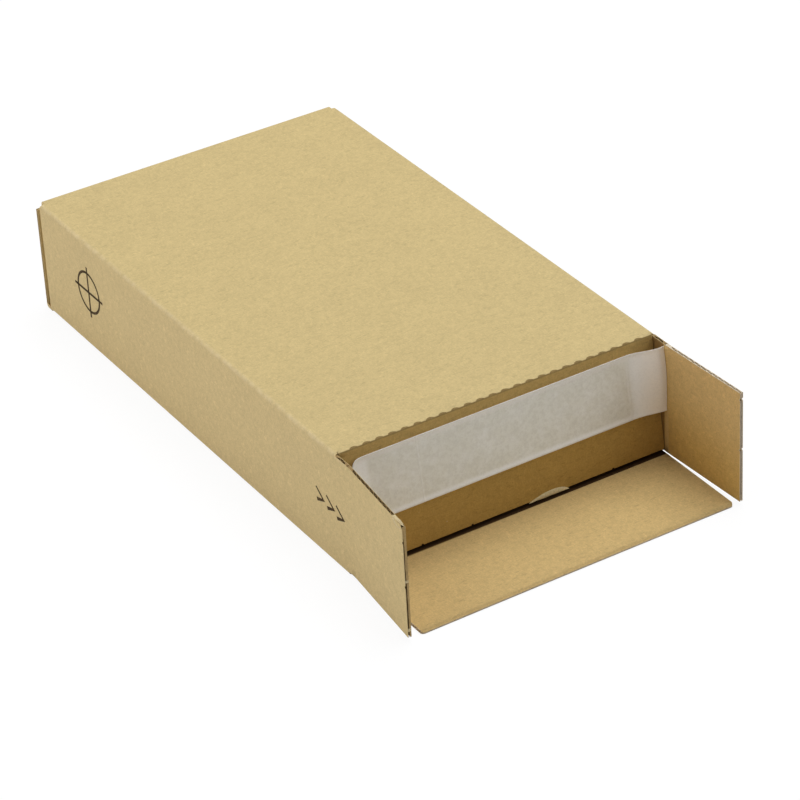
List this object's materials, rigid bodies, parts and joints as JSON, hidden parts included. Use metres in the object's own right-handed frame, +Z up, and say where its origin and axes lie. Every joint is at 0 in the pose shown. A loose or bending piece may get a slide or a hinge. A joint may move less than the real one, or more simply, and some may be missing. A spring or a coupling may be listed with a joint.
{
  "type": "corrugated mailer box",
  "caption": "Flat corrugated mailer box, glued shut at the back and open at the front, with four hinged end flaps and an adhesive strip under its release liner.",
  "frame": {"origin": "middle of the base, on the surface that the box stands on, halfway along the closed box", "axes": "+X across the box to its right wall, +Y from the open front to the glued back, +Z up"},
  "size_m": [0.1599, 0.3112, 0.0542],
  "materials": {
    "board": "matt brown kraft board, speckled with fibres",
    "adhesive": "satin translucent adhesive film",
    "liner": "smooth translucent release paper"
  },
  "bodies": {
    "carton": {"carton_body": "board"},
    "closing": {"closing_flap": "board", "adhesive_strip": "adhesive", "release_liner": "liner"},
    "left": {"left_flap": "board"},
    "right": {"right_flap": "board"},
    "bottom": {"bottom_flap": "board"}
  },
  "joints": [
    {"name": "closing_fold", "type": "hinge", "parent": "carton", "child": "closing", "pos_m": [0, -0.12675, 0.05345], "axis": [-1, 0, 0], "range_deg": [-9, 171]},
    {"name": "left_fold", "type": "hinge", "parent": "carton", "child": "left", "pos_m": [-0.07575, -0.13653, 0.0276], "axis": [0, 0, 1], "range_deg": [-84.2, 95.8]},
    {"name": "right_fold", "type": "hinge", "parent": "carton", "child": "right", "pos_m": [0.07575, -0.13653, 0.0276], "axis": [0, 0, -1], "range_deg": [-87.5, 92.5]},
    {"name": "bottom_fold", "type": "hinge", "parent": "carton", "child": "bottom", "pos_m": [0, -0.13833, 0.00075], "axis": [-1, 0, 0], "range_deg": [0, 90]}
  ]
}
